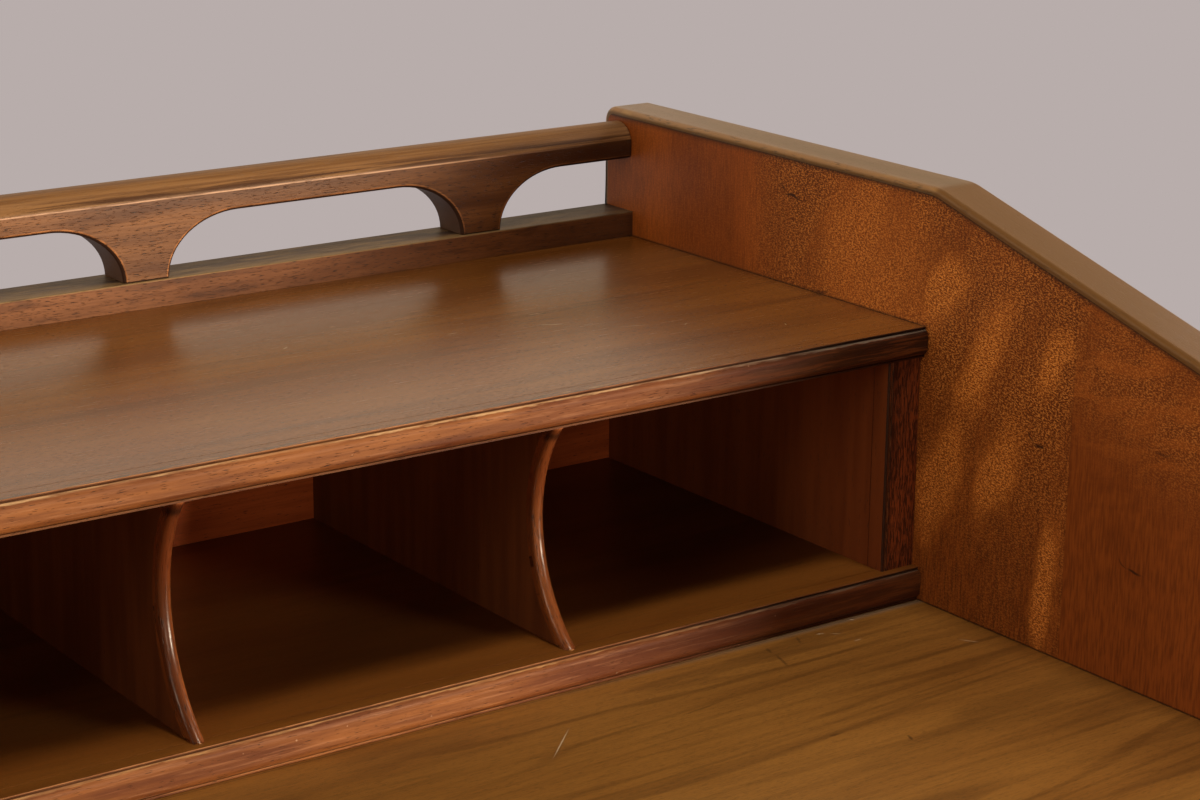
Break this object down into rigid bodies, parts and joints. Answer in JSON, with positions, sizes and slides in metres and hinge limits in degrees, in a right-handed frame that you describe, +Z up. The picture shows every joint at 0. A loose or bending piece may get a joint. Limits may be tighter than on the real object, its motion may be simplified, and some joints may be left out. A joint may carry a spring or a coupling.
{
  "type": "trestle desk",
  "caption": "Walnut trestle desk with sloping side panels, pigeonhole hutch, arched gallery rail and frieze drawers.",
  "frame": {"origin": "on the floor, under the middle of the desk's bounding box", "axes": "+X along the width to the right, -Y towards the sitter, +Z up"},
  "size_m": [1.326, 0.776, 1.005],
  "materials": {
    "walnut_side": "satin lacquered reddish walnut veneer",
    "walnut_lipping": "satin lacquered solid walnut",
    "walnut_top": "satin lacquered olive walnut veneer",
    "walnut_solid": "satin lacquered open-pored solid walnut",
    "walnut_dark": "satin lacquered dark walnut",
    "drawer_birch": "sanded and waxed",
    "steel": "plated",
    "glide_nylon": "smooth"
  },
  "bodies": {
    "desk": {"left_side_panel": "walnut_side", "right_side_panel": "walnut_side", "left_side_lipping": "walnut_lipping", "right_side_lipping": "walnut_lipping", "writing_top": "walnut_top", "writing_nosing": "walnut_solid", "case_bottom": "walnut_solid", "case_back": "walnut_side", "left_partition": "walnut_solid", "right_partition": "walnut_solid", "drawer_runners": "drawer_birch", "drawer_stops": "drawer_birch", "hutch_base": "walnut_top", "base_nosing": "walnut_solid", "hutch_shelf": "walnut_top", "shelf_nosing": "walnut_solid", "hutch_back": "walnut_side", "left_hutch_end": "walnut_side", "right_hutch_end": "walnut_side", "left_end_edging": "walnut_solid", "right_end_edging": "walnut_solid", "divider_1": "walnut_dark", "divider_2": "walnut_dark", "divider_3": "walnut_dark", "divider_4": "walnut_dark", "divider_strip_1": "walnut_solid", "divider_strip_2": "walnut_solid", "divider_strip_3": "walnut_solid", "divider_strip_4": "walnut_solid", "gallery_sill": "walnut_solid", "gallery_rail": "walnut_solid", "gallery_dowels": "drawer_birch", "left_foot": "walnut_solid", "right_foot": "walnut_solid", "left_post": "walnut_solid", "right_post": "walnut_solid", "left_bearer": "walnut_solid", "right_bearer": "walnut_solid", "stretcher": "walnut_solid", "stretcher_wedges": "walnut_dark", "floor_glides": "glide_nylon", "bearer_screws": "steel"},
    "left_drawer": {"left_drawer_front": "walnut_solid", "left_drawer_left_side": "drawer_birch", "left_drawer_right_side": "drawer_birch", "left_drawer_back": "drawer_birch", "left_drawer_bottom": "drawer_birch", "left_drawer_pull": "walnut_dark"},
    "centre_drawer": {"centre_drawer_front": "walnut_solid", "centre_drawer_left_side": "drawer_birch", "centre_drawer_right_side": "drawer_birch", "centre_drawer_back": "drawer_birch", "centre_drawer_bottom": "drawer_birch", "centre_drawer_pull": "walnut_dark"},
    "right_drawer": {"right_drawer_front": "walnut_solid", "right_drawer_left_side": "drawer_birch", "right_drawer_right_side": "drawer_birch", "right_drawer_back": "drawer_birch", "right_drawer_bottom": "drawer_birch", "right_drawer_pull": "walnut_dark"}
  },
  "joints": [
    {"name": "left_drawer_slide", "type": "slide", "parent": "desk", "child": "left_drawer", "axis": [0, -1, 0], "range_m": [0, 0.4]},
    {"name": "centre_drawer_slide", "type": "slide", "parent": "desk", "child": "centre_drawer", "axis": [0, -1, 0], "range_m": [0, 0.4]},
    {"name": "right_drawer_slide", "type": "slide", "parent": "desk", "child": "right_drawer", "axis": [0, -1, 0], "range_m": [0, 0.4]}
  ]
}
